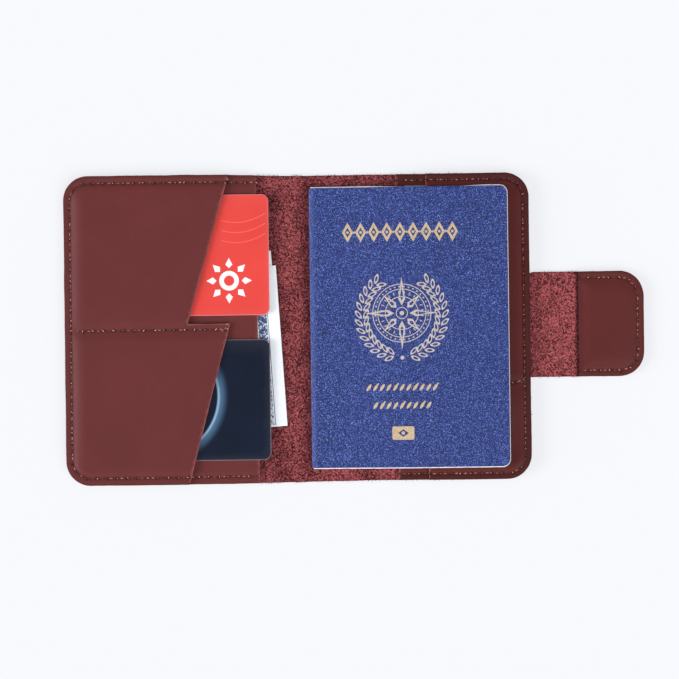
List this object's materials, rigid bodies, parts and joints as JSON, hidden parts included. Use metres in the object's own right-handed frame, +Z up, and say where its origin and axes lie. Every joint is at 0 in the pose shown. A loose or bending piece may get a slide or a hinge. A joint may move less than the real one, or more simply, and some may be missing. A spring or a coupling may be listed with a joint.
{
  "type": "passport holder wallet",
  "caption": "Stitched leather passport wallet lying open, with card pockets, a note pocket, a passport pocket with a side card slot, and a magnetic strap with a rounded end.",
  "frame": {"origin": "middle of the whole length and height, on the surface the wallet lies on", "axes": "+X along the length towards the strap, +Y towards the top edge, +Z up, out of the inside face"},
  "size_m": [0.259, 0.138, 0.0078],
  "materials": {
    "cover_leather": "suede inside, pulled-up smooth grain outside",
    "pocket_leather": "smooth oiled grain",
    "lining_leather": "smooth oiled grain",
    "thread": "waxed thread",
    "magnet": "nickel plated",
    "steel": "brushed",
    "red_card": "satin",
    "navy_card": "satin",
    "green_card": "satin",
    "note_paper": "matte",
    "booklet_paper": "matte",
    "booklet_cover": "grained, gold foil ornament"
  },
  "bodies": {
    "back_cover": {"cover_back": "cover_leather", "passport_pocket": "pocket_leather", "side_pocket": "pocket_leather", "seam_back": "thread", "seam_back_divider": "thread"},
    "spine": {"cover_spine": "cover_leather"},
    "front_cover": {"cover_front": "cover_leather", "note_pocket": "pocket_leather", "card_pocket": "pocket_leather", "keeper_disc": "steel", "seam_front": "thread", "seam_front_divider": "thread"},
    "riser": {"strap_riser": "cover_leather"},
    "strap_tab": {"strap_end": "cover_leather", "tab_lining": "lining_leather", "tab_magnet": "magnet", "seam_tab": "thread"},
    "upper_card": {"card_upper": "red_card"},
    "lower_card": {"card_lower": "navy_card"},
    "side_card": {"card_side": "green_card"},
    "note": {"banknote": "note_paper"},
    "slip": {"paper_slip": "note_paper"},
    "booklet": {"passport_cover_back": "booklet_cover", "passport_pages": "booklet_paper"},
    "booklet_front": {"passport_cover_front": "booklet_cover"}
  },
  "joints": [
    {"name": "spine_fold", "type": "hinge", "parent": "back_cover", "child": "spine", "pos_m": [-0.0201, 0, 0.0013], "axis": [0, 1, 0], "range_deg": [0, 90]},
    {"name": "cover_fold", "type": "hinge", "parent": "spine", "child": "front_cover", "pos_m": [-0.0309, 0, 0.0013], "axis": [0, 1, 0], "range_deg": [0, 90]},
    {"name": "strap_fold", "type": "hinge", "parent": "back_cover", "child": "riser", "pos_m": [0.0793, 0, 0.0013], "axis": [0, -1, 0], "range_deg": [0, 90]},
    {"name": "tab_fold", "type": "hinge", "parent": "riser", "child": "strap_tab", "pos_m": [0.094, 0, 0.0013], "axis": [0, -1, 0], "range_deg": [0, 90]},
    {"name": "upper_card_slide", "type": "slide", "parent": "front_cover", "child": "upper_card", "axis": [-1, 0, 0], "range_m": [-0.01, 0]},
    {"name": "lower_card_slide", "type": "slide", "parent": "front_cover", "child": "lower_card", "axis": [-1, 0, 0], "range_m": [-0.01, 0]},
    {"name": "side_card_slide", "type": "slide", "parent": "back_cover", "child": "side_card", "axis": [1, 0, 0], "range_m": [-0.008, 0]},
    {"name": "note_slide", "type": "slide", "parent": "front_cover", "child": "note", "axis": [-1, 0, 0], "range_m": [-0.003, 0.02]},
    {"name": "slip_slide", "type": "slide", "parent": "front_cover", "child": "slip", "axis": [-1, 0, 0], "range_m": [-0.003, 0.02]},
    {"name": "booklet_slide", "type": "slide", "parent": "back_cover", "child": "booklet", "axis": [1, 0, 0], "range_m": [-0.004, 0]},
    {"name": "booklet_open", "type": "hinge", "parent": "booklet", "child": "booklet_front", "pos_m": [-0.0195, 0, 0.0039], "axis": [0, 1, 0], "range_deg": [-170, 0]}
  ],
  "couplings": [
    {"joint": "cover_fold", "follows": "spine_fold", "ratio": 1}
  ]
}
